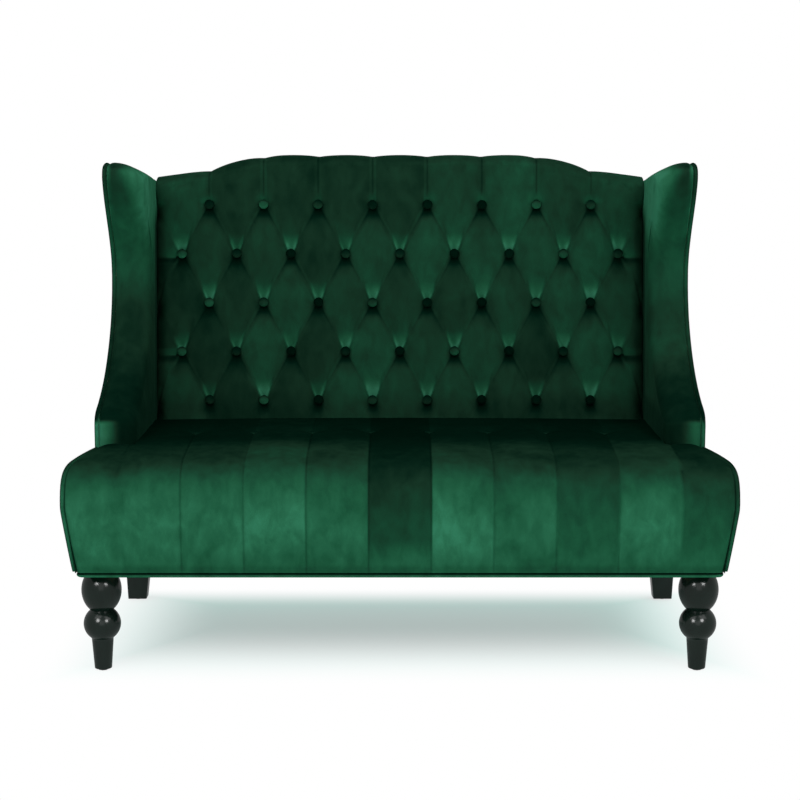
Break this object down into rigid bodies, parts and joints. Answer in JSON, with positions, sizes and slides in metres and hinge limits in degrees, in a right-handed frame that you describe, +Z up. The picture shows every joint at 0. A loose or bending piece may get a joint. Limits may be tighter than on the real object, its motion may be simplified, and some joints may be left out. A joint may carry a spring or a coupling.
{
  "type": "wingback loveseat",
  "caption": "Button-tufted velvet wingback loveseat with scooped wings, a pleated T-front seat, piped edges, turned front legs and splayed rear legs.",
  "frame": {"origin": "on the floor, halfway across the width and halfway between the seat front and the top of the outside back", "axes": "+X to the sitter's left along the width, +Y towards the back, +Z up"},
  "size_m": [1.3098, 0.71, 1],
  "materials": {
    "velvet": "cut-pile velvet, deep green",
    "black_lacquer": "gloss black lacquer on turned and sawn hardwood",
    "beech": "sawn and eased, unfinished",
    "plywood": "sanded, unfinished",
    "spring_steel": "drawn wire, oiled",
    "zinc": "zinc plated",
    "webbing": "woven elastic webbing",
    "felt": "needled felt",
    "cambric": "thin non-woven black cloth",
    "nylon": "moulded"
  },
  "bodies": {
    "root": {"back_button_row_1": "velvet", "back_button_row_2": "velvet", "back_button_row_3": "velvet", "back_button_row_4": "velvet", "back_button_row_5": "velvet", "back_cushion": "velvet", "base_welt": "velvet", "crest_welt": "velvet", "left_outside_panel": "velvet", "right_outside_panel": "velvet", "left_seat_welt": "velvet", "right_seat_welt": "velvet", "left_wing_pad": "velvet", "right_wing_pad": "velvet", "left_wing_welt": "velvet", "right_wing_welt": "velvet", "outside_back_panel": "velvet", "seat_button_row": "velvet", "seat_cushion": "velvet", "front_left_leg": "black_lacquer", "front_right_leg": "black_lacquer", "rear_left_leg": "black_lacquer", "rear_right_leg": "black_lacquer", "crest_rail": "beech", "front_left_corner_block": "beech", "front_right_corner_block": "beech", "front_rail": "beech", "left_back_post": "beech", "right_back_post": "beech", "left_back_slat": "beech", "right_back_slat": "beech", "left_side_rail": "beech", "right_side_rail": "beech", "lower_back_rail": "beech", "rear_left_corner_block": "beech", "rear_right_corner_block": "beech", "rear_rail": "beech", "seat_stretcher": "beech", "left_wing_board": "plywood", "right_wing_board": "plywood", "seat_spring_1": "spring_steel", "seat_spring_2": "spring_steel", "seat_spring_3": "spring_steel", "seat_spring_4": "spring_steel", "seat_spring_5": "spring_steel", "seat_spring_6": "spring_steel", "seat_spring_7": "spring_steel", "front_left_leg_bolt": "zinc", "front_right_leg_bolt": "zinc", "rear_left_leg_bolt": "zinc", "rear_right_leg_bolt": "zinc", "back_web_1": "webbing", "back_web_2": "webbing", "spring_felt": "felt", "dust_cover": "cambric", "front_left_glide": "nylon", "front_right_glide": "nylon", "rear_left_glide": "nylon", "rear_right_glide": "nylon"}
  },
  "joints": []
}
